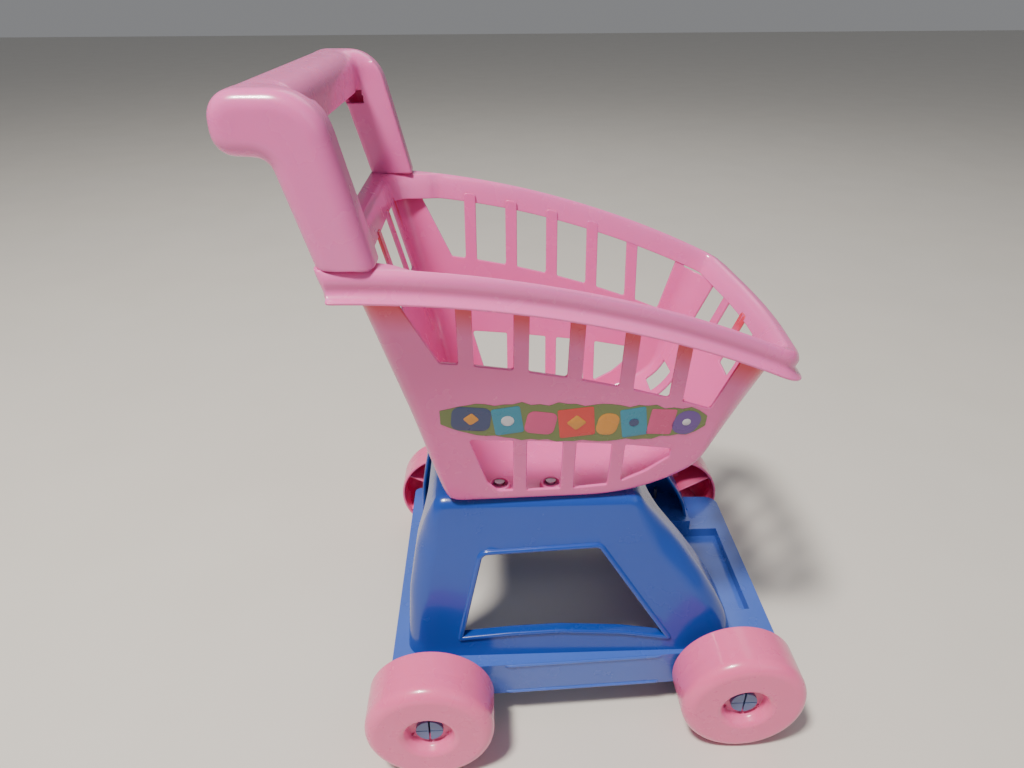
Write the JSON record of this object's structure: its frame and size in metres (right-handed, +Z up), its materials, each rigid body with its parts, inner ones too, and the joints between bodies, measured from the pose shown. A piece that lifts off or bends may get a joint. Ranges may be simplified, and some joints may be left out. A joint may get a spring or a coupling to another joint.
{
  "type": "toy shopping trolley",
  "caption": "Toy supermarket trolley: slotted tapering basket with a U-shaped push handle on an arched stand and open base frame, rolling on fat hollow wheels.",
  "frame": {"origin": "on the floor, under the middle of the whole object", "axes": "+X the way it rolls, +Y its left side, +Z up"},
  "size_m": [0.3868, 0.334, 0.505],
  "materials": {
    "basket": "glossy moulded plastic",
    "handle": "glossy moulded plastic",
    "wheel": "glossy moulded plastic",
    "stand": "glossy moulded plastic",
    "frame": "glossy moulded plastic",
    "pin": "satin moulded plastic",
    "label": "printed vinyl sticker",
    "screw": "zinc plated"
  },
  "bodies": {
    "root": {"basket": "basket", "handle": "handle", "handle_plugs": "handle", "stand": "stand", "base_frame": "frame", "label_right": "label", "label_left": "label", "stand_screws": "screw", "basket_screws": "screw", "handle_screws": "screw", "pin_rear_right": "pin", "pin_rear_left": "pin", "pin_front_right": "pin", "pin_front_left": "pin"},
    "wheel_rear_right_body": {"wheel_rear_right": "wheel"},
    "wheel_rear_left_body": {"wheel_rear_left": "wheel"},
    "wheel_front_right_body": {"wheel_front_right": "wheel"},
    "wheel_front_left_body": {"wheel_front_left": "wheel"}
  },
  "joints": [
    {"name": "wheel_rear_right_spin", "type": "hinge", "parent": "root", "child": "wheel_rear_right_body", "pos_m": [-0.10612, -0.147, 0.05], "axis": [0, 1, 0], "continuous": true},
    {"name": "wheel_rear_left_spin", "type": "hinge", "parent": "root", "child": "wheel_rear_left_body", "pos_m": [-0.10612, 0.147, 0.05], "axis": [0, 1, 0], "continuous": true},
    {"name": "wheel_front_right_spin", "type": "hinge", "parent": "root", "child": "wheel_front_right_body", "pos_m": [0.14338, -0.1316, 0.05], "axis": [0, 1, 0], "continuous": true},
    {"name": "wheel_front_left_spin", "type": "hinge", "parent": "root", "child": "wheel_front_left_body", "pos_m": [0.14338, 0.1316, 0.05], "axis": [0, 1, 0], "continuous": true}
  ]
}
